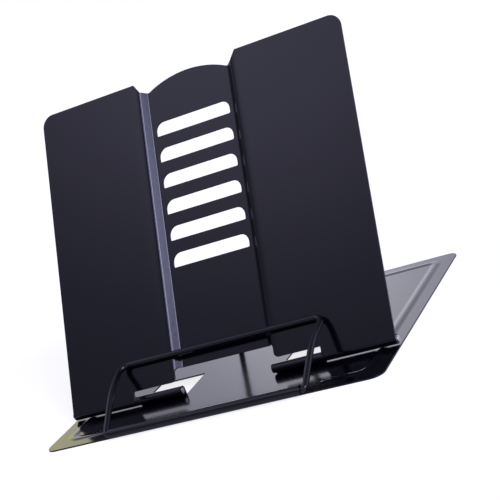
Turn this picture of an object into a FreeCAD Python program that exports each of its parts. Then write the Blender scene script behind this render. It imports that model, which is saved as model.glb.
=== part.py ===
import FreeCAD, Part
import Sketcher
import math
import os

# Folding book stand of black sheet steel: a base plate, a backrest hinged on two pins,
# a wire page holder in the front lip and a wire prop behind.
# Frame: X to the right, Y to the back, Z up, millimetres. The origin is on the table,
# under the middle of the base plate's front edge.

doc = FreeCAD.newDocument("book_stand")

# ---------------------------------------------------------------- driving dimensions
DRIVING = [
    # name, value, what it is
    ("sheet", 0.8, "thickness of both steel sheets"),
    ("base_width", 205.0, "base plate, left to right"),
    ("base_depth", 185.5, "base plate, front to back"),
    ("base_corner", 7.0, "corner radius of the base plate"),
    ("bead_inset", 11.0, "edge of the base plate to the crest of its bead"),
    ("bead_width", 8.0, "width of the pressed bead"),
    ("bead_height", 0.4, "height of the pressed bead above the sheet"),
    ("bead_corner", 7.0, "radius of the crest line at the corners"),
    ("bead_end", 68.5, "middle plane to each front end of the bead"),
    ("lip_half", 58.2, "half the length of the rolled front lip"),
    ("lip_inset", 0.35, "front edge of the base plate to the axis of the lip"),
    ("curl_gap", 0.7, "gap between a curl's free edge and what it faces"),
    ("hinge_back", 39.88, "front edge of the base plate to the hinge axis"),
    ("hinge_under", 0.1, "gap between the rolled hems and the bead under them"),
    ("pin_diameter", 3.6, "hinge pin"),
    ("pin_grip", 0.02, "radial clearance of a pin in its knuckle"),
    ("pin_run", 0.08, "radial clearance of a pin in its hem"),
    ("pin_proud", 1.2, "how far a pin stands out of its hem"),
    ("pin_round", 0.6, "rounding of the pin ends"),
    ("knuckle_in", 28.5, "middle plane to the inner end of a knuckle"),
    ("knuckle_length", 30.0, "length of a knuckle"),
    ("knuckle_gap", 0.4, "gap between a knuckle and the hem beside it"),
    ("window_reach", 28.0, "window behind a knuckle, front to back"),
    ("window_corner", 1.0, "corner radius of the window"),
    ("lean", 59.65, "angle of the backrest above the base, degrees"),
    ("panel_width", 202.8, "backrest, left to right"),
    ("panel_rise", 185.63, "hinge axis to the top edge, up the backrest"),
    ("panel_corner", 7.5, "radius of the upper outer corners"),
    ("channel_half", 27.3, "half the flat width of the sunk channel"),
    ("channel_depth", 3.7, "how far the channel lies behind the face"),
    ("bend_radius", 0.9, "inside radius of the channel's bends"),
    ("notch_half", 34.6, "half the width of the top notch at the top edge"),
    ("notch_fall", 5.6, "drop from the top edge to the foot of the notch's slopes"),
    ("shoulder_fall", 6.3, "drop from the top edge to the ends of the arch"),
    ("arch_half", 26.6, "half the chord of the arch over the channel"),
    ("arch_rise", 6.4, "rise of the arch"),
    ("slot_half", 24.7, "half the width of a slot"),
    ("slot_height", 8.3, "height of a slot"),
    ("slot_pitch", 16.04, "slot to slot"),
    ("slot_first", 70.38, "hinge axis to the lower edge of the lowest slot"),
    ("slot_count", 6, "number of slots"),
    ("slot_round", 5.2, "radius of the upper corners of a slot"),
    ("slot_foot_round", 0.9, "radius of the lower corners of a slot"),
    ("catch_half", 22.0, "half the width of a catch lip"),
    ("catch_depth", 2.5, "how far a catch lip stands out behind the channel"),
    ("cutout_half", 31.3, "half the width of the cut-out in the lower edge"),
    ("cutout_edge", 12.9, "hinge axis to the lower edge of the channel"),
    ("cutout_round", 2.6, "corner radius of the cut-out"),
    ("relief_edge", 5.13, "hinge axis to the edge over the knuckles"),
    ("relief_round", 0.6, "corner radius beside the hem"),
    ("wire", 3.5, "diameter of both wires"),
    ("wire_run", 0.06, "radial clearance of the page holder in the lip"),
    ("wire_tail", 13.0, "length of wire inside each end of the lip"),
    ("wire_bend", 2.0, "centre-line radius where the wires turn into their pivots"),
    ("holder_rise", 20.33, "hinge axis to the page holder's bar, up the backrest"),
    ("holder_rest", 0.5, "gap between the page holder's bar and the face"),
    ("holder_play", 0.3, "gap between the page holder's bend and the end of the lip"),
    ("holder_half", 64.1, "half the width of the page holder at its bar"),
    ("holder_corner", 5.5, "centre-line radius of its upper corners"),
    ("holder_knee_back", 24.6, "lip axis to the knee of the legs, towards the back"),
    ("holder_knee_up", 15.9, "lip axis to the knee of the legs, upwards"),
    ("holder_knee_round", 70.0, "centre-line radius of the knee"),
    ("prop_top_half", 19.6, "half the width of the prop at its bar"),
    ("prop_foot_half", 25.4, "half the width of the prop at its feet"),
    ("prop_back", 118.0, "front edge of the base plate to the prop's pivot"),
    ("prop_slack", 0.3, "gap between the prop's bar and a catch lip"),
    ("prop_corner", 5.0, "centre-line radius of its upper corners"),
    ("prop_tail", 10.5, "length of wire turned out at each foot of the prop"),
    ("bridge_width", 6.0, "width of the bridges that hold the prop"),
    ("bridge_run", 0.1, "radial clearance of the prop in its bridges"),
    ("bridge_gap", 0.8, "gap between a bridge and the bend of the prop"),
]

# ---------------------------------------------------------------- what follows from them
WORKED = [
    # name, formula on the driving dimensions, what it is
    ("base_half", "Sizes.base_width / 2", "half the base plate"),
    ("lip_bore", "Sizes.wire / 2 + Sizes.wire_run", "inner radius of the lip"),
    ("lip_outer", "lip_bore + Sizes.sheet", "outer radius of the lip, and its axis height"),
    ("lip_gap_top", "Sizes.sheet + Sizes.curl_gap", "top of the gap behind the lip"),
    ("lip_gap_back", "Sizes.lip_inset + 2 * lip_outer", "back of the gap behind the lip"),
    ("lip_length", "2 * Sizes.lip_half", "length of the lip"),
    ("pin_radius", "Sizes.pin_diameter / 2", "hinge pin"),
    ("knuckle_bore", "pin_radius + Sizes.pin_grip", "inner radius of a knuckle"),
    ("knuckle_outer", "knuckle_bore + Sizes.sheet", "outer radius of a knuckle"),
    ("hem_bore", "pin_radius + Sizes.pin_run", "inner radius of a hem"),
    ("hem_outer", "hem_bore + Sizes.sheet", "outer radius of a hem"),
    ("bead_top", "Sizes.sheet + Sizes.bead_height", "crest of the bead"),
    ("hinge_up", "bead_top + Sizes.hinge_under + hem_outer", "height of the hinge axis"),
    ("knuckle_out", "Sizes.knuckle_in + Sizes.knuckle_length", "outer end of a knuckle"),
    ("web_back", "Sizes.hinge_back + knuckle_outer", "back face of the knuckle's web"),
    ("web_front", "Sizes.hinge_back + knuckle_bore", "front face of the knuckle's web"),
    ("window_back", "web_back + Sizes.window_reach", "far edge of the window"),
    ("knuckle_gap_front", "web_front - Sizes.curl_gap - Sizes.sheet / 2", "free edge of a knuckle"),
    ("knuckle_gap_top", "hinge_up - knuckle_bore / 2", "top of the gap in a knuckle"),
    ("hem_in", "knuckle_out + Sizes.knuckle_gap", "inner end of a hem"),
    ("panel_half", "Sizes.panel_width / 2", "half the backrest, and the outer end of a hem"),
    ("hem_length", "panel_half - hem_in", "length of a hem"),
    ("face", "hem_outer", "hinge axis to the face of the backrest"),
    ("back_face", "face - Sizes.sheet", "hinge axis to the back of the side panels"),
    ("channel_face", "face - Sizes.channel_depth", "hinge axis to the channel's face"),
    ("channel_back", "channel_face - Sizes.sheet", "hinge axis to the channel's back"),
    ("mouth_half", "Sizes.channel_half + Sizes.channel_depth", "half the channel at the face"),
    ("bend_shift", "Sizes.sheet * tan(22.5 deg)", "shift of the back's corners at a 45 degree bend"),
    ("mouth_back", "mouth_half + bend_shift", "back corner at the face"),
    ("channel_corner", "Sizes.channel_half + bend_shift", "back corner at the channel"),
    ("bend_outer", "Sizes.bend_radius + Sizes.sheet", "outside radius of the channel's bends"),
    ("notch_foot", "Sizes.panel_rise - Sizes.notch_fall", "foot of the notch's slopes"),
    ("shoulder", "Sizes.panel_rise - Sizes.shoulder_fall", "ends of the arch"),
    ("above_panel", "Sizes.panel_rise + Sizes.sheet", "clear of the top edge"),
    ("slot_top", "Sizes.slot_first + Sizes.slot_height", "upper edge of the lowest slot"),
    ("slot_span", "Sizes.slot_pitch * (Sizes.slot_count - 1)", "lowest slot to highest"),
    ("catch_under", "Sizes.slot_first - Sizes.sheet", "underside of the lowest catch lip"),
    ("catch_tip", "channel_back - Sizes.catch_depth", "tip of a catch lip"),
    ("catch_root", "channel_back + Sizes.sheet / 2", "root of a catch lip, inside the sheet"),
    ("bridge_bore", "Sizes.wire / 2 + Sizes.bridge_run", "inner radius of a bridge"),
    ("bridge_outer", "bridge_bore + Sizes.sheet", "outer radius of a bridge"),
    ("prop_up", "Sizes.sheet + bridge_bore", "height of the prop's pivot"),
    ("bridge_in", "Sizes.prop_foot_half + Sizes.wire_bend + Sizes.bridge_gap", "inner side of a bridge"),
    ("bridge_front", "Sizes.prop_back - bridge_outer", "front face of a bridge"),
    ("bridge_back", "Sizes.prop_back + bridge_outer", "back face of a bridge"),
    ("bridge_slot_front", "Sizes.prop_back - bridge_bore", "front side under a bridge"),
    ("bridge_slot_back", "Sizes.prop_back + bridge_bore", "back side under a bridge"),
    ("zero", "0 * Sizes.sheet", "the frame's own planes"),
    ("below", "-Sizes.sheet", "clear of the underside"),
    ("under_hinge", "-2 * hem_outer", "clear of the hems"),
]


def fill_sheet(label, rows):
    """A spreadsheet with one named cell per row and a note beside it."""
    sheet = doc.addObject("Spreadsheet::Sheet", label)
    for line, (name, content, note) in enumerate(rows, start=1):
        sheet.set("A%d" % line, name)
        sheet.set("B%d" % line, str(content))
        sheet.setAlias("B%d" % line, name)
        sheet.set("C%d" % line, note)
    doc.recompute()
    return sheet


sizes = fill_sheet("Sizes", DRIVING)
places = fill_sheet("Places", [(name, "=" + formula, note) for name, formula, note in WORKED])
DRIVEN = {name for name, content, note in DRIVING}


def cell(name):
    """Expression for a named cell, with the sign that the name carries."""
    sign, bare = ("-", name[1:]) if name.startswith("-") else ("", name)
    return sign + ("Sizes." if bare in DRIVEN else "Places.") + bare


def value(name):
    """Number in a named cell, with the sign that the name carries."""
    sign, bare = (-1.0, name[1:]) if name.startswith("-") else (1.0, name)
    number = sizes.get(bare) if bare in DRIVEN else places.get(bare)
    return sign * float(number)


# ---------------------------------------------------------------- sketches and features
def new_body(label):
    """An empty body with the sub-part's name."""
    body = doc.addObject("PartDesign::Body", label)
    body.Label = label
    return body


def new_sketch(body, name, plane, offset=None):
    """Sketch on one of the body's own planes, moved along its normal by a named size."""
    sketch = body.newObject("Sketcher::SketchObject", name)
    origin_plane = [f for f in body.Origin.OriginFeatures if f.Role == plane][0]
    sketch.AttachmentSupport = [(origin_plane, "")]
    sketch.MapMode = "FlatFace"
    if offset:
        sketch.setExpression("AttachmentOffset.Base.z", cell(offset))
    return sketch


def tie(sketch, kind, geometry, point, name):
    """Hold one coordinate of a point at a named size from the sketch's origin."""
    index = sketch.addConstraint(Sketcher.Constraint(kind, -1, 1, geometry, point, value(name)))
    sketch.setExpression("Constraints[%d]" % index, cell(name))


def draw_polygon(sketch, corners):
    """Closed outline through corners given as pairs of named sizes."""
    points = [FreeCAD.Vector(value(x), value(y), 0) for x, y in corners]
    first = sketch.GeometryCount
    count = len(points)
    for i in range(count):
        sketch.addGeometry(Part.LineSegment(points[i], points[(i + 1) % count]))
    for i in range(count):
        following = first + (i + 1) % count
        sketch.addConstraint(Sketcher.Constraint("Coincident", first + i, 2, following, 1))
    for i, (x, y) in enumerate(corners):
        tie(sketch, "DistanceX", first + i, 1, x)
        tie(sketch, "DistanceY", first + i, 1, y)


def draw_stepped(sketch, corners, radii):
    """Closed outline of level and upright lines whose corners are rounded by named radii.

    corners are pairs of named sizes, anticlockwise; a radius of None leaves a sharp corner.
    """
    points = [FreeCAD.Vector(value(x), value(y), 0) for x, y in corners]
    count = len(points)
    starts, ends, arcs = [], [], []
    for i in range(count):
        before = (points[i - 1] - points[i]).normalize()
        after = (points[(i + 1) % count] - points[i]).normalize()
        reach = value(radii[i]) if radii[i] else 0.0
        starts.append(points[i] + before * reach)
        ends.append(points[i] + after * reach)
        centre = points[i] + (before + after) * reach
        middle = centre - (before + after).normalize() * reach
        arcs.append(Part.Arc(starts[i], middle, ends[i]) if radii[i] else None)
    lines = []
    for i in range(count):
        following = (i + 1) % count
        line = sketch.addGeometry(Part.LineSegment(ends[i], starts[following]))
        lines.append(line)
        level = abs(points[i].y - points[following].y) < abs(points[i].x - points[following].x)
        sketch.addConstraint(Sketcher.Constraint("Horizontal" if level else "Vertical", line))
        if level:
            tie(sketch, "DistanceY", line, 1, corners[i][1])
        else:
            tie(sketch, "DistanceX", line, 1, corners[i][0])
    for i in range(count):
        previous = lines[i - 1]
        if arcs[i] is None:
            sketch.addConstraint(Sketcher.Constraint("Coincident", previous, 2, lines[i], 1))
            continue
        arc = sketch.addGeometry(arcs[i])
        turns_left = (points[i] - points[i - 1]).cross(points[(i + 1) % count] - points[i]).z > 0
        enter, leave = (1, 2) if turns_left else (2, 1)
        sketch.addConstraint(Sketcher.Constraint("Tangent", previous, 2, arc, enter))
        sketch.addConstraint(Sketcher.Constraint("Tangent", arc, leave, lines[i], 1))
        index = sketch.addConstraint(Sketcher.Constraint("Radius", arc, value(radii[i])))
        sketch.setExpression("Constraints[%d]" % index, cell(radii[i]))


def draw_circle(sketch, x, y, radius):
    """Circle with its centre and radius at named sizes."""
    centre = FreeCAD.Vector(value(x), value(y), 0)
    circle = sketch.addGeometry(Part.Circle(centre, FreeCAD.Vector(0, 0, 1), value(radius)))
    tie(sketch, "DistanceX", circle, 3, x)
    tie(sketch, "DistanceY", circle, 3, y)
    index = sketch.addConstraint(Sketcher.Constraint("Radius", circle, value(radius)))
    sketch.setExpression("Constraints[%d]" % index, cell(radius))


def add_feature(body, kind, name, sketch, length, backwards=False, both_ways=False):
    """Pad or pocket of a sketch by a named length; it has to change the body's volume."""
    before = body.Shape.Volume if not body.Shape.isNull() else 0.0
    feature = body.newObject("PartDesign::" + kind, name)
    feature.Profile = sketch
    feature.setExpression("Length", cell(length))
    feature.Reversed = backwards
    feature.Midplane = both_ways
    doc.recompute()
    if abs(body.Shape.Volume - before) < 1e-6:
        raise RuntimeError(name + " changes nothing")
    return feature


def copy_feature(body, kind, name, originals):
    """Mirror or row of earlier features, made the body's last feature."""
    feature = body.newObject("PartDesign::" + kind, name)
    feature.Originals = originals
    body.Tip = feature
    return feature


def round_edges(body, name, radius, chosen):
    """Fillet of the body's edges for which chosen(edge) is true."""
    doc.recompute()
    last = body.Tip
    names = ["Edge%d" % (i + 1) for i, edge in enumerate(last.Shape.Edges) if chosen(edge)]
    feature = body.newObject("PartDesign::Fillet", name)
    feature.Base = (last, names)
    feature.setExpression("Radius", cell(radius))
    doc.recompute()
    return feature


def runs_along(edge, axis):
    """True for a straight edge parallel to an axis."""
    if not isinstance(edge.Curve, Part.Line):
        return False
    return abs(abs(edge.tangentAt(edge.FirstParameter).dot(axis)) - 1) < 1e-6


X_AXIS = FreeCAD.Vector(1, 0, 0)
Y_AXIS = FreeCAD.Vector(0, 1, 0)
Z_AXIS = FreeCAD.Vector(0, 0, 1)


# ---------------------------------------------------------------- bent wire
def round_path(points, radii):
    """Wire of straight runs joined by tangent arcs, one radius for each inner point."""
    edges = []
    start = points[0]
    for before, corner, after, radius in zip(points, points[1:], points[2:], radii):
        back = (before - corner).normalize()
        onward = (after - corner).normalize()
        half = back.getAngle(onward) / 2
        reach = radius / math.tan(half)
        bisector = (back + onward).normalize()
        centre = corner + bisector * (radius / math.sin(half))
        enter = corner + back * reach
        leave = corner + onward * reach
        edges.append(Part.LineSegment(start, enter).toShape())
        edges.append(Part.Arc(enter, centre - bisector * radius, leave).toShape())
        start = leave
    edges.append(Part.LineSegment(start, points[-1]).toShape())
    return Part.Wire(edges)


def sweep_round(path, diameter):
    """Solid round wire along a path."""
    start = path.Edges[0].firstVertex().Point
    direction = path.Edges[0].tangentAt(path.Edges[0].FirstParameter)
    section = Part.Wire([Part.Circle(start, direction, diameter / 2).toShape()])
    return path.makePipeShell([section], True, True)


def add_wire_bail(label, half_path, half_radii):
    """Wire bail that is its own mirror image in the middle plane."""
    mirrored = [FreeCAD.Vector(-p.x, p.y, p.z) for p in reversed(half_path)]
    path = round_path(half_path + mirrored, half_radii + half_radii[::-1])
    bail = doc.addObject("Part::Feature", label)
    bail.Label = label
    bail.Shape = sweep_round(path, value("wire"))
    return bail


def on_backrest(side, rise, out):
    """Point given by its distance up the backrest and out of the hinge axis towards its face."""
    lean = math.radians(value("lean"))
    return FreeCAD.Vector(side,
                          value("hinge_back") + rise * math.cos(lean) - out * math.sin(lean),
                          value("hinge_up") + rise * math.sin(lean) + out * math.cos(lean))


# ---------------------------------------------------------------- base plate
def base_sheet(body):
    """Flat sheet with rounded corners."""
    sketch = new_sketch(body, "sheet_outline", "XY_Plane")
    corners = [("-base_half", "zero"), ("base_half", "zero"),
               ("base_half", "base_depth"), ("-base_half", "base_depth")]
    draw_stepped(sketch, corners, ["base_corner"] * 4)
    add_feature(body, "Pad", "flat_sheet", sketch, "sheet")


def front_lip(body):
    """Front edge rolled up and back into a tube for the page holder's ends."""
    for kind, name, radius in (("Pad", "lip_roll", "lip_outer"), ("Pocket", "lip_hollow", "lip_bore")):
        sketch = new_sketch(body, name + "_circle", "YZ_Plane")
        draw_circle(sketch, "lip_inset", "lip_outer", radius)
        add_feature(body, kind, name, sketch, "lip_length", both_ways=True)
    sketch = new_sketch(body, "lip_gap_outline", "YZ_Plane")
    draw_polygon(sketch, [("lip_inset", "sheet"), ("lip_gap_back", "sheet"),
                          ("lip_gap_back", "lip_gap_top"), ("lip_inset", "lip_gap_top")])
    add_feature(body, "Pocket", "lip_gap", sketch, "lip_length", both_ways=True)


def hinge_knuckle(body):
    """Right knuckle: a flap raised at its window's front edge and rolled over the pin."""
    window = new_sketch(body, "window_outline", "XY_Plane")
    corners = [("knuckle_in", "web_back"), ("knuckle_out", "web_back"),
               ("knuckle_out", "window_back"), ("knuckle_in", "window_back")]
    draw_stepped(window, corners, [None, None, "window_corner", "window_corner"])
    features = [add_feature(body, "Pocket", "window", window, "sheet", backwards=True)]
    web = new_sketch(body, "web_outline", "YZ_Plane", "knuckle_in")
    draw_polygon(web, [("web_front", "zero"), ("web_back", "zero"),
                       ("web_back", "hinge_up"), ("web_front", "hinge_up")])
    features.append(add_feature(body, "Pad", "knuckle_web", web, "knuckle_length"))
    roll = new_sketch(body, "knuckle_circle", "YZ_Plane", "knuckle_in")
    draw_circle(roll, "hinge_back", "hinge_up", "knuckle_outer")
    features.append(add_feature(body, "Pad", "knuckle_roll", roll, "knuckle_length"))
    hollow = new_sketch(body, "knuckle_hollow_circle", "YZ_Plane", "knuckle_in")
    draw_circle(hollow, "hinge_back", "hinge_up", "knuckle_bore")
    features.append(add_feature(body, "Pocket", "knuckle_hollow", hollow, "knuckle_length",
                                backwards=True))
    gap = new_sketch(body, "knuckle_gap_outline", "YZ_Plane", "knuckle_in")
    draw_polygon(gap, [("knuckle_gap_front", "sheet"), ("web_front", "sheet"),
                       ("web_front", "knuckle_gap_top"), ("knuckle_gap_front", "knuckle_gap_top")])
    features.append(add_feature(body, "Pocket", "knuckle_gap_cut", gap, "knuckle_length",
                                backwards=True))
    return features


def prop_bridge(body):
    """Right bridge: a strip pressed up out of the sheet, over the foot of the prop."""
    sides = new_sketch(body, "bridge_outline", "YZ_Plane", "bridge_in")
    draw_polygon(sides, [("bridge_front", "zero"), ("bridge_back", "zero"),
                         ("bridge_back", "prop_up"), ("bridge_front", "prop_up")])
    features = [add_feature(body, "Pad", "bridge_sides", sides, "bridge_width")]
    arch = new_sketch(body, "bridge_circle", "YZ_Plane", "bridge_in")
    draw_circle(arch, "prop_back", "prop_up", "bridge_outer")
    features.append(add_feature(body, "Pad", "bridge_arch", arch, "bridge_width"))
    slot = new_sketch(body, "bridge_slot_outline", "YZ_Plane", "bridge_in")
    draw_polygon(slot, [("bridge_slot_front", "below"), ("bridge_slot_back", "below"),
                        ("bridge_slot_back", "prop_up"), ("bridge_slot_front", "prop_up")])
    features.append(add_feature(body, "Pocket", "bridge_slot", slot, "bridge_width",
                                backwards=True))
    hollow = new_sketch(body, "bridge_hollow_circle", "YZ_Plane", "bridge_in")
    draw_circle(hollow, "prop_back", "prop_up", "bridge_bore")
    features.append(add_feature(body, "Pocket", "bridge_hollow", hollow, "bridge_width",
                                backwards=True))
    return features


def bead_section(lift, width, height, depth, whole):
    """Section of a pressed bead at x = 0: a crown arc between two foot arcs, or half of it.

    With half width w and height h each foot arc turns by p, where tan(p / 2) = h / w, and
    has the radius w / (2 sin p). A lift moves the arcs down along their radii by the sheet.
    """
    turn = 2 * math.atan2(height, width)
    radius = width / (2 * math.sin(turn))
    crown_centre = FreeCAD.Vector(0, 0, value("bead_top") - radius)

    def on_crown(angle):
        return crown_centre + FreeCAD.Vector(0, math.sin(angle), math.cos(angle)) * (radius - lift)

    def on_foot(side, angle):
        centre = FreeCAD.Vector(0, side * width, value("sheet") + radius)
        return centre - FreeCAD.Vector(0, side * math.sin(angle), math.cos(angle)) * (radius + lift)

    start = -turn if whole else 0
    edges = [Part.Arc(on_crown(start), on_crown((start + turn) / 2), on_crown(turn)).toShape(),
             Part.Arc(on_crown(turn), on_foot(1, turn / 2), on_foot(1, 0)).toShape()]
    if whole:
        edges.append(Part.Arc(on_crown(-turn), on_foot(-1, turn / 2), on_foot(-1, 0)).toShape())
        far_side = [FreeCAD.Vector(0, -width, depth), on_foot(-1, 0)]
    else:
        far_side = [FreeCAD.Vector(0, 0, depth), on_crown(0)]
    corners = [on_foot(1, 0), FreeCAD.Vector(0, width, depth)] + far_side
    edges += [Part.LineSegment(a, b).toShape() for a, b in zip(corners, corners[1:])]
    return Part.Face(Part.Wire(Part.__sortEdges__(edges)))


def bead_solid(lift, depth):
    """Bead along its crest line round the sides and back, with round ends at the front."""
    half = value("base_half") - value("bead_inset")
    front = value("bead_inset")
    back = value("base_depth") - value("bead_inset")
    end = value("bead_end")
    crest_line = round_path([FreeCAD.Vector(end, front, 0), FreeCAD.Vector(half, front, 0),
                             FreeCAD.Vector(half, back, 0), FreeCAD.Vector(-half, back, 0),
                             FreeCAD.Vector(-half, front, 0), FreeCAD.Vector(-end, front, 0)],
                            [value("bead_corner")] * 4)
    profile = (lift, value("bead_width") / 2, value("bead_height"), depth)
    section = bead_section(*profile, True).OuterWire
    section.translate(FreeCAD.Vector(end, front, 0))
    run = crest_line.makePipeShell([section], True, False)
    tip = FreeCAD.Vector(end, front, 0)
    half_face = bead_section(*profile, False)
    half_face.translate(tip)
    round_end = half_face.revolve(tip, Z_AXIS, 180)
    return run.fuse([round_end, round_end.mirror(FreeCAD.Vector(), X_AXIS)]).removeSplitter()


def make_base_plate():
    """Base plate: pressed and rolled from one sheet."""
    body = new_body("base_blank")
    base_sheet(body)
    front_lip(body)
    features = hinge_knuckle(body) + prop_bridge(body)
    mirrored = copy_feature(body, "Mirrored", "left_side", features)
    middle = [f for f in body.Origin.OriginFeatures if f.Role == "YZ_Plane"][0]
    mirrored.MirrorPlane = (middle, [""])
    doc.recompute()
    ridge = doc.addObject("Part::Feature", "bead_ridge")
    ridge.Shape = bead_solid(0.0, value("sheet") / 2)
    joined = doc.addObject("Part::Fuse", "plate_with_bead")
    joined.Base = body
    joined.Tool = ridge
    joined.Refine = True
    groove = doc.addObject("Part::Feature", "bead_groove")
    groove.Shape = bead_solid(value("sheet"), -value("sheet"))
    plate = doc.addObject("Part::Cut", "base_plate")
    plate.Base = joined
    plate.Tool = groove
    plate.Refine = True
    plate.Label = "base_plate"
    doc.recompute()
    return plate


# ---------------------------------------------------------------- backrest
def folded_sheet(body):
    """Sheet with the sunk channel, cut square at the hinge axis and at the top."""
    sketch = new_sketch(body, "section", "XZ_Plane")
    right_front = [("channel_half", "channel_face"), ("mouth_half", "face"), ("panel_half", "face")]
    right_back = [("panel_half", "back_face"), ("mouth_back", "back_face"),
                  ("channel_corner", "channel_back")]
    left_back = [("-" + x, y) for x, y in reversed(right_back)]
    left_front = [("-" + x, y) for x, y in reversed(right_front)]
    draw_polygon(sketch, right_front + right_back + left_back + left_front)
    add_feature(body, "Pad", "folded_sheet", sketch, "panel_rise", backwards=True)
    inside = [(value("channel_half"), value("channel_face")), (value("mouth_back"), value("back_face"))]
    outside = [(value("mouth_half"), value("face")), (value("channel_corner"), value("channel_back"))]

    def at_corner(edge, corners):
        point = edge.CenterOfMass
        near = [abs(abs(point.x) - x) + abs(point.z - z) < 1e-3 for x, z in corners]
        return runs_along(edge, Y_AXIS) and any(near)

    round_edges(body, "inside_bends", "bend_radius", lambda edge: at_corner(edge, inside))
    round_edges(body, "outside_bends", "bend_outer", lambda edge: at_corner(edge, outside))


def panel_outline(body):
    """Top notch with the arch over the channel, round corners, and the lower edge."""
    notch = new_sketch(body, "notch_outline", "XY_Plane")
    draw_polygon(notch, [("-mouth_half", "notch_foot"), ("-channel_half", "shoulder"),
                         ("channel_half", "shoulder"), ("mouth_half", "notch_foot"),
                         ("notch_half", "panel_rise"), ("notch_half", "above_panel"),
                         ("-notch_half", "above_panel"), ("-notch_half", "panel_rise")])
    add_feature(body, "Pocket", "top_notch", notch, "panel_width", both_ways=True)
    arch = new_sketch(body, "arch_outline", "XY_Plane", "channel_back")
    left = FreeCAD.Vector(value("-arch_half"), value("shoulder"), 0)
    right = FreeCAD.Vector(value("arch_half"), value("shoulder"), 0)
    crown = FreeCAD.Vector(0, value("shoulder") + value("arch_rise"), 0)
    arch.addGeometry(Part.Arc(right, crown, left))
    arch.addGeometry(Part.LineSegment(left, right))
    arch.addConstraint(Sketcher.Constraint("Coincident", 0, 2, 1, 1))
    arch.addConstraint(Sketcher.Constraint("Coincident", 1, 2, 0, 1))
    for point, side in ((1, "-arch_half"), (2, "arch_half")):
        tie(arch, "DistanceX", 1, point, side)
        tie(arch, "DistanceY", 1, point, "shoulder")
    radius = arch.addConstraint(Sketcher.Constraint("Radius", 0, arch.Geometry[0].Radius))
    arch.setExpression("Constraints[%d]" % radius,
                       "(Sizes.arch_half ^ 2 + Sizes.arch_rise ^ 2) / (2 * Sizes.arch_rise)")
    add_feature(body, "Pad", "arch", arch, "sheet")
    lower = new_sketch(body, "lower_outline", "XY_Plane")
    corners = [("-hem_in", "under_hinge"), ("hem_in", "under_hinge"),
               ("hem_in", "relief_edge"), ("cutout_half", "relief_edge"),
               ("cutout_half", "cutout_edge"), ("-cutout_half", "cutout_edge"),
               ("-cutout_half", "relief_edge"), ("-hem_in", "relief_edge")]
    radii = [None, None, "relief_round", "cutout_round", "cutout_round",
             "cutout_round", "cutout_round", "relief_round"]
    draw_stepped(lower, corners, radii)
    add_feature(body, "Pocket", "lower_edge", lower, "panel_width", both_ways=True)

    def outer_corner(edge):
        point = edge.CenterOfMass
        at_side = abs(abs(point.x) - value("panel_half")) < 1e-3
        return runs_along(edge, Z_AXIS) and at_side and abs(point.y - value("panel_rise")) < 1e-3

    round_edges(body, "upper_corners", "panel_corner", outer_corner)


def slots_and_catches(body):
    """Row of D-shaped slots, each with its lower edge turned back as a catch for the prop."""
    slot = new_sketch(body, "slot_outline", "XY_Plane")
    corners = [("-slot_half", "slot_first"), ("slot_half", "slot_first"),
               ("slot_half", "slot_top"), ("-slot_half", "slot_top")]
    draw_stepped(slot, corners, ["slot_foot_round", "slot_foot_round", "slot_round", "slot_round"])
    cut = add_feature(body, "Pocket", "slot", slot, "panel_width", both_ways=True)
    catch = new_sketch(body, "catch_outline", "YZ_Plane")
    draw_polygon(catch, [("catch_under", "catch_tip"), ("slot_first", "catch_tip"),
                         ("slot_first", "catch_root"), ("catch_under", "catch_root")])
    lip = body.newObject("PartDesign::Pad", "catch")
    lip.Profile = catch
    lip.setExpression("Length", "2 * Sizes.catch_half")
    lip.Midplane = True
    doc.recompute()
    row = copy_feature(body, "LinearPattern", "slot_row", [cut, lip])
    up = [f for f in body.Origin.OriginFeatures if f.Role == "Y_Axis"][0]
    row.Direction = (up, [""])
    row.setExpression("Length", cell("slot_span"))
    row.setExpression("Occurrences", cell("slot_count"))
    doc.recompute()


def rolled_hem(body):
    """Lower edge rolled back round each pin."""
    roll = new_sketch(body, "hem_circle", "YZ_Plane", "hem_in")
    draw_circle(roll, "zero", "zero", "hem_outer")
    hollow = new_sketch(body, "hem_hollow_circle", "YZ_Plane", "hem_in")
    draw_circle(hollow, "zero", "zero", "hem_bore")
    gap = new_sketch(body, "hem_gap_outline", "YZ_Plane", "hem_in")
    draw_polygon(gap, [("zero", "zero"), ("hem_outer", "zero"),
                       ("hem_outer", "back_face"), ("zero", "back_face")])
    features = [add_feature(body, "Pad", "hem_roll", roll, "hem_length"),
                add_feature(body, "Pocket", "hem_hollow", hollow, "hem_length", backwards=True),
                add_feature(body, "Pocket", "hem_gap", gap, "hem_length", backwards=True)]
    mirrored = copy_feature(body, "Mirrored", "left_hem", features)
    middle = [f for f in body.Origin.OriginFeatures if f.Role == "YZ_Plane"][0]
    mirrored.MirrorPlane = (middle, [""])
    doc.recompute()


def make_backrest():
    """Backrest, drawn with its hinge axis along X and its face towards +Z, then leant back."""
    body = new_body("backrest")
    folded_sheet(body)
    panel_outline(body)
    slots_and_catches(body)
    rolled_hem(body)
    body.setExpression("Placement.Base.y", cell("hinge_back"))
    body.setExpression("Placement.Base.z", cell("hinge_up"))
    body.Placement.Rotation.Axis = X_AXIS
    body.setExpression("Placement.Rotation.Angle", cell("lean"))
    body.setExpression("Placement.Rotation.Axis.x", "1")
    body.setExpression("Placement.Rotation.Axis.z", "0")
    doc.recompute()
    return body


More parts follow.
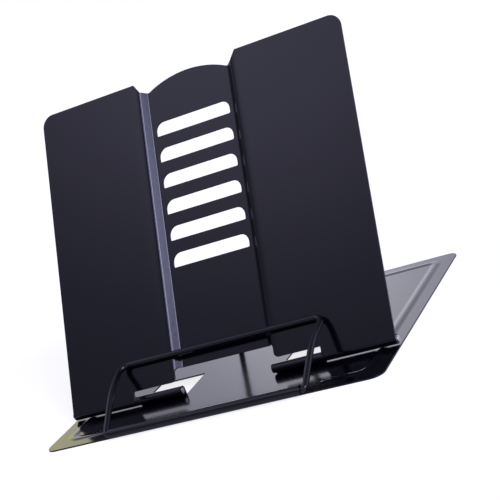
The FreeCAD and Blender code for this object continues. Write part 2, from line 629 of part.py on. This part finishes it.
# ---------------------------------------------------------------- pins and wires
def make_hinge_pin(label, side):
    """Bare steel pin from the inner end of a knuckle to just outside the hem."""
    rod = doc.addObject("Part::Cylinder", label + "_rod")
    rod.setExpression("Radius", cell("pin_radius"))
    rod.setExpression("Height", "Places.panel_half + Sizes.pin_proud - Sizes.knuckle_in")
    reach = "%d * Sizes.knuckle_in" if side > 0 else "%d * (Places.panel_half + Sizes.pin_proud)"
    rod.Placement.Rotation = FreeCAD.Rotation(Z_AXIS, X_AXIS)
    rod.setExpression("Placement.Base.x", reach % side)
    rod.setExpression("Placement.Base.y", cell("hinge_back"))
    rod.setExpression("Placement.Base.z", cell("hinge_up"))
    doc.recompute()
    pin = doc.addObject("Part::Fillet", label)
    pin.Label = label
    pin.Base = rod
    rims = [i + 1 for i, edge in enumerate(rod.Shape.Edges) if isinstance(edge.Curve, Part.Circle)]
    pin.Edges = [(rim, value("pin_round"), value("pin_round")) for rim in rims]
    doc.recompute()
    return pin


def make_page_holder():
    """Page holder: tails in the lip, legs over a gentle knee, bar just before the face."""
    axis_back = value("lip_inset")
    axis_up = value("lip_outer")
    leave = value("lip_half") + value("holder_play") + value("wire_bend")
    bar_out = value("face") + value("holder_rest") + value("wire") / 2
    bar = on_backrest(value("holder_half"), value("holder_rise"), bar_out)
    knee_share = value("holder_knee_back") / (bar.y - axis_back)
    knee = FreeCAD.Vector(leave + (bar.x - leave) * knee_share,
                          axis_back + value("holder_knee_back"),
                          axis_up + value("holder_knee_up"))
    half_path = [FreeCAD.Vector(value("lip_half") - value("wire_tail"), axis_back, axis_up),
                 FreeCAD.Vector(leave, axis_back, axis_up), knee, bar]
    return add_wire_bail("page_holder", half_path,
                         [value("wire_bend"), value("holder_knee_round"), value("holder_corner")])


def make_rear_prop():
    """Prop: feet turned out into the bridges, bar just clear of the lowest catch lip."""
    foot = FreeCAD.Vector(value("prop_foot_half"), value("prop_back"), value("prop_up"))
    tail = foot + X_AXIS * value("prop_tail")
    bar_rise = value("catch_under") - value("prop_slack") - value("wire") / 2
    bar_out = value("catch_tip") - value("prop_slack") - value("wire") / 2
    bar = on_backrest(value("prop_top_half"), bar_rise, bar_out)
    return add_wire_bail("rear_prop", [tail, foot, bar],
                         [value("wire_bend"), value("prop_corner")])


parts = [make_base_plate(), make_backrest(),
         make_hinge_pin("hinge_pin_left", -1), make_hinge_pin("hinge_pin_right", 1),
         make_page_holder(), make_rear_prop()]

# ---------------------------------------------------------------- checks and export
doc.recompute()
for item in doc.Objects:
    if "Invalid" in item.State or "Error" in item.State:
        raise RuntimeError(item.Label + " failed: " + ", ".join(item.State))
for part in parts:
    if part.Shape.isNull() or not part.Shape.isValid() or len(part.Shape.Solids) != 1:
        raise RuntimeError(part.Label + " is not one valid solid")
os.makedirs("parts", exist_ok=True)
for part in parts:
    part.Shape.exportStep("parts/" + part.Label + ".step")
    box = part.Shape.BoundBox
    print("%-16s volume %9.1f  x %7.2f %7.2f  y %7.2f %7.2f  z %7.2f %7.2f" % (
        part.Label, part.Shape.Volume, box.XMin, box.XMax, box.YMin, box.YMax, box.ZMin, box.ZMax))
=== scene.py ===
import math
import bmesh
import bpy
import numpy as np
from mathutils import Matrix, Vector


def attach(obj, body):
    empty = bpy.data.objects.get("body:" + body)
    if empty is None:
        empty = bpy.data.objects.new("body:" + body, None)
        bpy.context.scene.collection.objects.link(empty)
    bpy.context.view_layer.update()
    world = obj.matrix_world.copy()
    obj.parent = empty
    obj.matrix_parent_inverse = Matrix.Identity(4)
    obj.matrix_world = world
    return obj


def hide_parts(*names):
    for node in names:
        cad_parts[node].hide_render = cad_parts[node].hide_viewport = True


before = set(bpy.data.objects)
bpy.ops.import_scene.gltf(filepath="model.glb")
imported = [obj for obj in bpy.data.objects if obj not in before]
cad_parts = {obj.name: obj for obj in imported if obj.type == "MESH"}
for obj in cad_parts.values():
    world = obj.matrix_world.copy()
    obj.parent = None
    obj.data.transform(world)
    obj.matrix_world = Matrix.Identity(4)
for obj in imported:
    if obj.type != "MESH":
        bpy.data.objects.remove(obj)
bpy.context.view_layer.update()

# ---------------------------------------------------------------- camera
# A long lens a little above the stand and to its right, turned about its own axis so
# that the stand leans to the left in the frame.
LOOK_LEFT = math.radians(25.643)
LOOK_DOWN = math.radians(11.540)
TURN = math.radians(21.455)
EYE = Vector((0.340847, -0.583783, 0.211612))
LENS = 96.985

forward = Vector((-math.sin(LOOK_LEFT) * math.cos(LOOK_DOWN),
                  math.cos(LOOK_LEFT) * math.cos(LOOK_DOWN),
                  -math.sin(LOOK_DOWN)))
level_right = forward.cross(Vector((0, 0, 1))).normalized()
level_up = level_right.cross(forward)
right = level_right * math.cos(TURN) - level_up * math.sin(TURN)
up = level_up * math.cos(TURN) + level_right * math.sin(TURN)
lens = bpy.data.cameras.new("camera")
lens.lens = LENS
lens.sensor_width = 36.0
lens.clip_start = 0.01
camera = bpy.data.objects.new("camera", lens)
bpy.context.scene.collection.objects.link(camera)
camera.matrix_world = Matrix.Translation(EYE) @ Matrix((right, up, -forward)).transposed().to_4x4()
bpy.context.scene.camera = camera
bpy.context.scene.view_settings.view_transform = "Standard"


# ---------------------------------------------------------------- base plate
# One sheet of 0.8 mm steel with a bead pressed round its rim, a rolled lip at the front and
# two knuckles rolled up out of windows. It is stove-enamelled in a glossy blue-black.
class Value:
    """A number in a material: a socket or a plain number, with the usual operators."""

    def __init__(self, tree, content):
        self.tree = tree
        self.content = content

    def math(self, operation, *others):
        node = self.tree.nodes.new("ShaderNodeMath")
        node.operation = operation
        for socket, item in zip(node.inputs, (self,) + others):
            feed(self.tree, socket, item)
        return Value(self.tree, node.outputs[0])

    def __add__(self, other):
        return self.math("ADD", other)

    def __radd__(self, other):
        return self.math("ADD", other)

    def __sub__(self, other):
        return self.math("SUBTRACT", other)

    def __rsub__(self, other):
        return Value(self.tree, other).math("SUBTRACT", self)

    def __mul__(self, other):
        return self.math("MULTIPLY", other)

    def __rmul__(self, other):
        return self.math("MULTIPLY", other)

    def __truediv__(self, other):
        return self.math("DIVIDE", other)

    def __rtruediv__(self, other):
        return Value(self.tree, other).math("DIVIDE", self)

    def __gt__(self, other):
        return self.math("GREATER_THAN", other)

    def clamped(self):
        return self.math("MAXIMUM", 0.0).math("MINIMUM", 1.0)


def feed(tree, socket, item):
    """Link or set one input: a Value, a socket, a number or a colour."""
    if isinstance(item, Value):
        item = item.content
    if isinstance(item, bpy.types.NodeSocket):
        tree.links.new(item, socket)
    else:
        socket.default_value = item


class Nodes:
    """A node tree that takes nodes by type, settings and inputs."""

    def __init__(self, tree):
        self.tree = tree
        tree.nodes.clear()

    def add(self, kind, output=0, settings=None, **inputs):
        """A new node's output. Inputs go by name, or by number as i0, i1 and so on."""
        node = self.tree.nodes.new("ShaderNode" + kind)
        for name, content in (settings or {}).items():
            setattr(node, name, content)
        for name, item in inputs.items():
            key = int(name[1:]) if name[0] == "i" and name[1:].isdigit() else name.replace("_", " ")
            feed(self.tree, node.inputs[key], item)
        return Value(self.tree, node.outputs[output]) if node.outputs else None

    def mix(self, factor, first, second):
        """Colour between two colours."""
        return self.add("Mix", output=2, settings={"data_type": "RGBA"}, i0=factor, i6=first, i7=second)


def new_material(name):
    """An empty material and its node tree."""
    material = bpy.data.materials.new(name)
    material.use_nodes = True
    return material, Nodes(material.node_tree)


def grey(level, tint=(1.0, 1.0, 1.0)):
    """A grey as a colour with full alpha, each part times its part of the tint."""
    return tuple(level * part for part in tint) + (1.0,)


WAVES_PER_METRE = 330.0
GRAINS_PER_METRE = 1900.0
DRIFTS_PER_METRE = 23.0
DUST_CELLS_PER_METRE = 70.0
SPECK_REACH = 0.014
SPECK_FALL = 150.0
CLEAN_CELLS = 0.82
DUST_GREY = grey(0.10, (1.0, 0.95, 0.85))
EDGE_SAMPLES = 8
EDGE_ROUNDING = 0.00028
ENAMEL_IOR = 1.5
PEEL = 0.000010


def enamel(name, colour, roughness, form=None):
    """Glossy enamel on steel: faint orange peel, drifting gloss and specks of dust.

    The surface height is 0.01 mm times a soft noise with waves 3 mm long plus a tenth of that
    in grains of half a millimetre. Roughness goes up and down by a fifth over some
    centimetres, and up by 0.25 on each speck. A speck lies at the middle of one cell in five
    or six, and fades out 0.014 of a cell from it. A form adds a height of its own in metres.
    """
    material, nodes = new_material(name)
    place = nodes.add("TexCoord", output="Object")
    waves = nodes.add("TexNoise", Vector=place, Scale=WAVES_PER_METRE, Detail=1.0, Roughness=0.4)
    grains = nodes.add("TexNoise", Vector=place, Scale=GRAINS_PER_METRE, Detail=1.0, Roughness=0.5)
    drift = nodes.add("TexNoise", Vector=place, Scale=DRIFTS_PER_METRE, Detail=3.0, Roughness=0.55)
    cells = nodes.add("TexVoronoi", Vector=place, Scale=DUST_CELLS_PER_METRE, Randomness=1.0)
    chance = nodes.add("TexVoronoi", output="Color", Vector=place, Scale=DUST_CELLS_PER_METRE,
                       Randomness=1.0)
    red = nodes.add("SeparateColor", Color=chance)
    dust = ((SPECK_REACH - cells) * SPECK_FALL).clamped() * (red > CLEAN_CELLS)
    edge = nodes.add("Bevel", settings={"samples": EDGE_SAMPLES}, Radius=EDGE_ROUNDING)
    if form:
        edge = nodes.add("Bump", Height=form(nodes, place), Normal=edge, Strength=1.0, Distance=1.0)
    normal = nodes.add("Bump", Height=waves + grains * 0.1, Normal=edge, Strength=1.0, Distance=PEEL)
    surface = nodes.add("BsdfPrincipled", Base_Color=nodes.mix(dust, colour, DUST_GREY),
                        Normal=normal, IOR=ENAMEL_IOR,
                        Roughness=roughness * (0.8 + 0.4 * drift) + 0.25 * dust)
    nodes.add("OutputMaterial", Surface=surface)
    return material


def show(mesh, name, stands_for, body, material):
    """Put a finished mesh in the scene in place of a CAD node."""
    piece = bpy.data.objects.new(name, mesh)
    bpy.context.scene.collection.objects.link(piece)
    mesh.materials.append(material)
    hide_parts(stands_for)
    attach(piece, body)
    return piece


SHARP_BEND = math.radians(32.0)
WELD = 0.000002


def pressed_sheet(node, name, body, material):
    """A pressed sheet as one skin: its triangles merged, rolled forms smooth, cut edges crisp.

    Each corner's normal is the mean of its smooth faces' normals weighted by their areas, so
    the flat sheet stays flat right up to where a bead or a bend begins.
    """
    skin = bmesh.new()
    skin.from_mesh(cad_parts[node].data)
    bmesh.ops.remove_doubles(skin, verts=skin.verts, dist=WELD)
    for face in skin.faces:
        face.smooth = True
    for edge in skin.edges:
        edge.smooth = edge.calc_face_angle(0.0) < SHARP_BEND
    mesh = bpy.data.meshes.new(name)
    skin.to_mesh(mesh)
    skin.free()
    piece = show(mesh, name, node, body, material)
    even = piece.modifiers.new("even_shading", "WEIGHTED_NORMAL")
    even.mode = "FACE_AREA"
    even.keep_sharp = True
    return piece


SHEET = 0.0008
BEAD_HALF_WIDTH = 0.0040
BEAD_HEIGHT = 0.0004
CREST_SIDE = 0.0915
CREST_FRONT = 0.0110
CREST_BACK = 0.1745
CREST_CORNER = 0.0070
CREST_END = 0.0685
TINY = 1e-9


def from_crest(x, y):
    """Vectors from the nearest points of the bead's crest line to points of the plate.

    The line runs from (end, front) out to the side, back and across to the middle, with round
    corners, and again in the mirror.
    """
    mirror = np.where(x < 0, -1.0, 1.0)
    x = np.abs(x)
    turn_x = CREST_SIDE - CREST_CORNER
    middle = np.clip(y, CREST_FRONT + CREST_CORNER, CREST_BACK - CREST_CORNER)
    from_turn = np.hypot(x - turn_x, y - middle)
    share = 1.0 - CREST_CORNER / np.maximum(from_turn, TINY)
    places = [x > turn_x, y > CREST_BACK - 2 * CREST_CORNER]
    away_x = np.select(places, [(x - turn_x) * share, 0.0 * x], x - np.maximum(x, CREST_END))
    away_y = np.select(places, [(y - middle) * share, y - CREST_BACK], y - CREST_FRONT)
    return away_x * mirror, away_y


def bead_normals(x, y):
    """Unit normals on top of the bead at points of the plate, and which points lie on it.

    With half width w and height h the section is two arcs of radius R = w / (2 sin p), where
    tan(p / 2) = h / w. At a distance d from the crest the sheet tilts by a, and sin a = d / R
    up to d = w / 2 and (w - d) / R beyond.
    """
    away_x, away_y = from_crest(x, y)
    distance = np.hypot(away_x, away_y)
    on_bead = distance <= BEAD_HALF_WIDTH
    radius = BEAD_HALF_WIDTH / (2 * math.sin(2 * math.atan(BEAD_HEIGHT / BEAD_HALF_WIDTH)))
    sine = np.where(on_bead, np.minimum(distance, BEAD_HALF_WIDTH - distance) / radius, 0.0)
    share = sine / np.maximum(distance, TINY)
    return np.stack([away_x * share, away_y * share, np.sqrt(1.0 - sine ** 2)], axis=1), on_bead


def rows(items, name, width, kind=np.float32):
    """One property of all items of a mesh, a row for each."""
    values = np.empty(len(items) * width, dtype=kind)
    items.foreach_get(name, values)
    return values.reshape(-1, width)


FACING_UP = 0.9
TOP_SLACK = 0.00001
FLAT_SLACK = 0.000005


def smooth_bead(piece):
    """Gives the top of the bead its true normals, and the flat of the plate its own.

    Faces count as on top when they look up and lie no lower than the sheet's upper face, and
    as flat when they lie level with it.
    """
    bpy.context.view_layer.update()
    drawn = piece.evaluated_get(bpy.context.evaluated_depsgraph_get())
    mesh = bpy.data.meshes.new_from_object(drawn)
    normals = rows(mesh.corner_normals, "vector", 3)
    facing = rows(mesh.polygons, "normal", 3)[:, 2]
    height = rows(mesh.polygons, "center", 3)[:, 2]
    on_top = (facing >= FACING_UP) & (height >= SHEET - TOP_SLACK)
    on_flat = on_top & (height < SHEET + FLAT_SLACK)
    corners = rows(mesh.polygons, "loop_total", 1, np.int32)[:, 0]
    on_top = np.repeat(on_top, corners)
    on_flat = np.repeat(on_flat, corners)
    places = rows(mesh.vertices, "co", 3)[rows(mesh.loops, "vertex_index", 1, np.int32)[:, 0]]
    true_normals, on_bead = bead_normals(places[:, 0].astype(float), places[:, 1].astype(float))
    raised = on_top & ~on_flat & on_bead
    normals[raised] = true_normals[raised]
    normals[on_flat] = (0.0, 0.0, 1.0)
    mesh.normals_split_custom_set(normals.tolist())
    mesh.name = piece.name
    piece.modifiers.clear()
    piece.data = mesh


SHEET_BLACK = (0.0012, 0.0012, 0.0030, 1.0)
SHEET_ROUGHNESS = 0.13
SHEET_ENAMEL = enamel("sheet_enamel", SHEET_BLACK, SHEET_ROUGHNESS)
smooth_bead(pressed_sheet("base_plate", "enamelled_base", "base", SHEET_ENAMEL))

# ---------------------------------------------------------------- backrest
# The second sheet: a sunk channel with six slots, each slot's lower edge turned back as a
# catch for the prop, and a hem rolled round each pin. Same enamel as the base plate.
MOUTH_HALF = 0.0310
DRAW_DEPTH = 0.0005
DRAW_REACH = 0.0020


def drawn_in(nodes, place):
    """Fall of the side panels towards the channel, where pressing drew the sheet in.

    It is the draw's depth times exp(-d / reach), with d the distance from the channel's mouth.
    """
    side = nodes.add("SeparateXYZ", Vector=place).math("ABSOLUTE")
    away = (side - MOUTH_HALF).math("MAXIMUM", 0.0)
    return (away / -DRAW_REACH).math("EXPONENT") * -DRAW_DEPTH


PANEL_ENAMEL = enamel("panel_enamel", SHEET_BLACK, SHEET_ROUGHNESS, drawn_in)
pressed_sheet("backrest", "enamelled_backrest", "backrest", PANEL_ENAMEL)


# ---------------------------------------------------------------- page holder
# A bail bent from 3.5 mm steel wire and dipped in black enamel. Its cut ends turn inside the
# rolled lip of the base plate, and its bar rests just in front of the backrest.
LEAN = math.radians(59.65)
HINGE = Vector((0.0, 0.03988, 0.00398))
FACE = 0.00268
LIP_AXIS = Vector((0.0, 0.00035, 0.00261))
LIP_HALF = 0.0582
WIRE = 0.0035
WIRE_BEND = 0.0020
WIRE_TAIL = 0.0130
WIRE_SIDES = 40
CROP_ROUNDING = 0.0002
STATION_STEP = 2.5
HOLDER_HALF = 0.0641
HOLDER_RISE = 0.02033
HOLDER_REST = 0.0005
HOLDER_PLAY = 0.0003
HOLDER_CORNER = 0.0055
KNEE_BACK = 0.0246
KNEE_UP = 0.0159
KNEE_ROUND = 0.070


def on_backrest(side, rise, out):
    """Point so far to the side, up the backrest from the hinge axis, and out towards its face."""
    up_panel = Vector((0.0, math.cos(LEAN), math.sin(LEAN)))
    off_panel = Vector((0.0, -math.sin(LEAN), math.cos(LEAN)))
    return HINGE + Vector((side, 0.0, 0.0)) + up_panel * rise + off_panel * out


def centre_line(corners, radii):
    """Stations along a wire bent round its corners, and the wire's direction at each.

    At a corner that turns by 2a the bend has its centre r / cos a from the corner on the
    bisector, and starts r tan a before it. Stations lie every 2.5 degrees along a bend.
    """
    places = [corners[0]]
    headings = [(corners[1] - corners[0]).normalized()]
    for before, corner, after, radius in zip(corners, corners[1:], corners[2:], radii):
        heading = (corner - before).normalized()
        onward = (after - corner).normalized()
        turn = heading.angle(onward)
        start = corner - heading * (radius * math.tan(turn / 2))
        inwards = (onward - heading * heading.dot(onward)).normalized()
        for share in np.linspace(0.0, 1.0, max(3, math.ceil(math.degrees(turn) / STATION_STEP))):
            angle = turn * share
            places.append(start + heading * (radius * math.sin(angle))
                          + inwards * (radius * (1.0 - math.cos(angle))))
            headings.append(heading * math.cos(angle) + inwards * math.sin(angle))
    places.append(corners[-1])
    headings.append((corners[-1] - corners[-2]).normalized())
    return places, headings


def bent_wire(name, half_corners, half_radii, stands_for, body, material):
    """Round wire along a path and its mirror image, with cropped ends.

    Ring k is c_k + s r (cos t u_k + sin t v_k) for t from 0 to 360 degrees, where u_k is the
    last ring's u less its part along the wire, so that the rings never twist. s is 1 but for
    the first and the last ring, whose smaller size rounds over the ends.
    """
    mirrored = [Vector((-p.x, p.y, p.z)) for p in reversed(half_corners)]
    places, headings = centre_line(half_corners + mirrored, half_radii + half_radii[::-1])
    first_full = places[0] + headings[0] * CROP_ROUNDING
    last_full = places[-1] - headings[-1] * CROP_ROUNDING
    places = [places[0], first_full] + places[1:-1] + [last_full, places[-1]]
    headings = [headings[0]] + headings + [headings[-1]]
    cropped = 1.0 - CROP_ROUNDING / (WIRE / 2)
    shares = [cropped] + [1.0] * (len(places) - 2) + [cropped]
    angles = np.linspace(0.0, 2.0 * math.pi, WIRE_SIDES, endpoint=False)
    across = headings[0].orthogonal().normalized()
    rings = []
    for place, heading, share in zip(places, headings, shares):
        across = (across - heading * across.dot(heading)).normalized()
        other = heading.cross(across)
        ring = np.outer(np.cos(angles), across) + np.outer(np.sin(angles), other)
        rings.append(np.array(place) + ring * (share * WIRE / 2))
    number = np.arange(len(rings) * WIRE_SIDES).reshape(len(rings), WIRE_SIDES)
    following = np.roll(number, -1, axis=1)
    skin = np.stack([number[:-1], following[:-1], following[1:], number[1:]], axis=2)
    ends = [number[0, ::-1].tolist(), number[-1].tolist()]
    faces = skin.reshape(-1, 4).tolist() + ends
    mesh = bpy.data.meshes.new(name)
    mesh.from_pydata(np.concatenate(rings).tolist(), [], faces)
    smooth = [True] * (len(faces) - len(ends)) + [False] * len(ends)
    mesh.polygons.foreach_set("use_smooth", smooth)
    return show(mesh, name, stands_for, body, material)


WIRE_BLACK = (0.0020, 0.0020, 0.0042, 1.0)
WIRE_ENAMEL = enamel("wire_enamel", WIRE_BLACK, 0.17)
turn_out = LIP_HALF + HOLDER_PLAY + WIRE_BEND
in_lip = LIP_AXIS + Vector((LIP_HALF - WIRE_TAIL, 0.0, 0.0))
lip_end = LIP_AXIS + Vector((turn_out, 0.0, 0.0))
bar_end = on_backrest(HOLDER_HALF, HOLDER_RISE, FACE + HOLDER_REST + WIRE / 2)
knee_share = KNEE_BACK / (bar_end.y - LIP_AXIS.y)
knee = LIP_AXIS + Vector((turn_out + (bar_end.x - turn_out) * knee_share, KNEE_BACK, KNEE_UP))
bent_wire("enamelled_page_holder", [in_lip, lip_end, knee, bar_end],
          [WIRE_BEND, KNEE_ROUND, HOLDER_CORNER], "page_holder", "page_holder", WIRE_ENAMEL)

# ---------------------------------------------------------------- rear prop
# The same wire bent into a narrower bail, sprung outwards into the two bridges. Its bar
# stands under the lowest catch lip, clear of it by the slack.
PROP_FOOT = Vector((0.0254, 0.1180, 0.00265))
PROP_TAIL = 0.0105
PROP_TOP_HALF = 0.0196
PROP_CORNER = 0.005
PROP_SLACK = 0.0003
SLOT_FIRST = 0.07038
CHANNEL_DEPTH = 0.0037
CATCH_DEPTH = 0.0025
tail_end = PROP_FOOT + Vector((PROP_TAIL, 0.0, 0.0))
bar_rise = SLOT_FIRST - SHEET - PROP_SLACK - WIRE / 2
bar_out = FACE - CHANNEL_DEPTH - SHEET - CATCH_DEPTH - PROP_SLACK - WIRE / 2
bent_wire("enamelled_rear_prop",
          [tail_end, PROP_FOOT, on_backrest(PROP_TOP_HALF, bar_rise, bar_out)],
          [WIRE_BEND, PROP_CORNER], "rear_prop", "prop", WIRE_ENAMEL)


# ---------------------------------------------------------------- hinge pins
# Two cut lengths of drawn steel wire, left bare, with lightly rounded ends. They sit tight in
# the knuckles of the base plate, and the hems of the backrest turn on them.
DULL_STEEL = grey(0.74, (1.0, 0.96, 0.88))
BRIGHT_STEEL = grey(0.94, (1.0, 0.97, 0.90))
LINES_PER_METRE = (60.0, 2500.0, 2500.0)
LINE_HEIGHT = 0.000006
PATCHES_PER_METRE = 260.0
PIN_ROUNDING = 0.0002


def drawn_steel(name):
    """Bare drawn steel: fine lines along the pin, darker in patches where it has dulled.

    The colour goes from dull to bright as the patches' noise goes from 0.3 to 0.8, and the
    roughness is 0.40 plus a fifth of that noise.
    """
    material, nodes = new_material(name)
    place = nodes.add("TexCoord", output="Object")
    along = nodes.add("Mapping", Vector=place, Scale=LINES_PER_METRE)
    lines = nodes.add("TexNoise", Vector=along, Scale=1.0, Detail=2.0, Roughness=0.6)
    patches = nodes.add("TexNoise", Vector=place, Scale=PATCHES_PER_METRE, Detail=3.0, Roughness=0.6)
    edge = nodes.add("Bevel", settings={"samples": EDGE_SAMPLES}, Radius=PIN_ROUNDING)
    normal = nodes.add("Bump", Height=lines, Normal=edge, Strength=1.0, Distance=LINE_HEIGHT)
    colour = nodes.mix((patches * 2.0 - 0.6).clamped(), DULL_STEEL, BRIGHT_STEEL)
    surface = nodes.add("BsdfPrincipled", Base_Color=colour, Metallic=1.0, Normal=normal,
                        Roughness=0.40 + 0.2 * patches)
    nodes.add("OutputMaterial", Surface=surface)
    return material


PIN_STEEL = drawn_steel("pin_steel")
for side in ("left", "right"):
    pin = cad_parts["hinge_pin_" + side]
    pin.data.materials.clear()
    pin.data.materials.append(PIN_STEEL)

# ---------------------------------------------------------------- floor
# A wide pale table top that runs out of sight. It is white in view but for the stand's
# shadow, and dimmer in the enamel's mirror images and as a source of light.
FLOOR_REACH = 6.0
TABLE_GREY = grey(0.80)
MIRRORED_GREY = grey(0.30)
MIRRORED_GLOW = grey(0.26, (1.0, 1.0, 1.3))
SEEN_GREY = grey(0.50, (1.0, 0.98, 0.90))
SEEN_GLOW = grey(0.74)
floor_mesh = bpy.data.meshes.new("floor")
corners = np.array([(-1, -1, 0), (1, -1, 0), (1, 1, 0), (-1, 1, 0)]) * FLOOR_REACH
floor_mesh.from_pydata(corners.tolist(), [], [(0, 1, 2, 3)])
floor = bpy.data.objects.new("floor", floor_mesh)
bpy.context.scene.collection.objects.link(floor)
floor_material, nodes = new_material("pale_table")
light_path = floor_material.node_tree.nodes.new("ShaderNodeLightPath")
table = nodes.add("BsdfDiffuse", Color=TABLE_GREY)
mirrored_table = nodes.add("AddShader", i0=nodes.add("BsdfDiffuse", Color=MIRRORED_GREY),
                           i1=nodes.add("Emission", Color=MIRRORED_GLOW, Strength=1.0))
seen_table = nodes.add("AddShader", i0=nodes.add("BsdfDiffuse", Color=SEEN_GREY),
                       i1=nodes.add("Emission", Color=SEEN_GLOW, Strength=1.0))
table = nodes.add("MixShader", i0=light_path.outputs["Is Glossy Ray"], i1=table, i2=mirrored_table)
table = nodes.add("MixShader", i0=light_path.outputs["Is Camera Ray"], i1=table, i2=seen_table)
nodes.add("OutputMaterial", Surface=table)
floor_mesh.materials.append(floor_material)

# ---------------------------------------------------------------- studio light
# A dim bluish room with nine soft round lamps. The brightest stands in front on the right,
# the others are the pale wall behind, a warm patch of it at the left, and weak fills.
world = bpy.data.worlds.new("studio")
bpy.context.scene.world = world
world.use_nodes = True
nodes = Nodes(world.node_tree)
direction = nodes.add("TexCoord", output="Generated")


def towards(left_of_back, above):
    """Unit vector at an angle to the left of straight back and one above the table, degrees."""
    turn = math.radians(left_of_back)
    rise = math.radians(above)
    return (-math.sin(turn) * math.cos(rise), math.cos(turn) * math.cos(rise), math.sin(rise))


def lamp(left_of_back, above, spread, edge):
    """Round lamp of even brightness: 1 / (1 + exp((a - spread) / edge)), a the angle from its middle."""
    cosine = nodes.add("VectorMath", output="Value", settings={"operation": "DOT_PRODUCT"},
                       i0=direction, i1=towards(left_of_back, above))
    angle = cosine.math("MINIMUM", 1.0).math("ARCCOSINE")
    grown = ((angle - math.radians(spread)) / math.radians(edge)).math("EXPONENT")
    return 1.0 / (1.0 + grown)


def shine(colour, factor):
    """A colour times a factor."""
    return nodes.add("VectorMath", settings={"operation": "SCALE"}, i0=colour, Scale=factor)


def together(first, second):
    """The sum of two colours."""
    return nodes.add("VectorMath", settings={"operation": "ADD"}, i0=first, i1=second)


ROOM = (0.22, 0.22, 0.33)
LAMPS = [
    # colour, left of straight back, above the table, spread, width of its soft edge
    ((0.66, 0.66, 0.76), 14.0, 8.0, 34.0, 5.0),        # wall behind the stand
    ((0.60, 0.60, 0.61), 23.6, 15.0, 4.3, 1.0),        # brighter patch of it
    ((1.50, 1.50, 1.55), 26.0, 1.5, 5.5, 1.2),         # low band at its foot
    ((0.78, 0.70, -0.12), 44.5, 16.0, 9.5, 0.8),       # warm patch that takes out the blue
    ((9.20, 9.20, 14.5), 238.0, 36.2, 11.7, 2.0),      # large lamp in front on the right
    ((0.83, 0.80, 1.15), 140.0, 53.5, 10.0, 2.7),      # high in front on the left
    ((0.80, 0.78, 1.00), 80.0, 47.0, 14.0, 3.0),       # fill on the left
    ((0.75, 0.74, 0.85), 196.0, 27.0, 15.0, 3.0),      # fill in front
    ((0.60, 0.60, 0.70), 296.0, 22.0, 18.0, 3.0),      # fill on the right
]
light = ROOM
for colour, left_of_back, above, spread, edge in LAMPS:
    light = together(light, shine(colour, lamp(left_of_back, above, spread, edge)))
room_light = nodes.add("Background", Color=light, Strength=1.0)
white = nodes.add("Background", Color=grey(1.0), Strength=1.0)
world_path = world.node_tree.nodes.new("ShaderNodeLightPath")
nodes.add("OutputWorld", Surface=nodes.add("MixShader", i0=world_path.outputs["Is Camera Ray"],
                                           i1=room_light, i2=white))
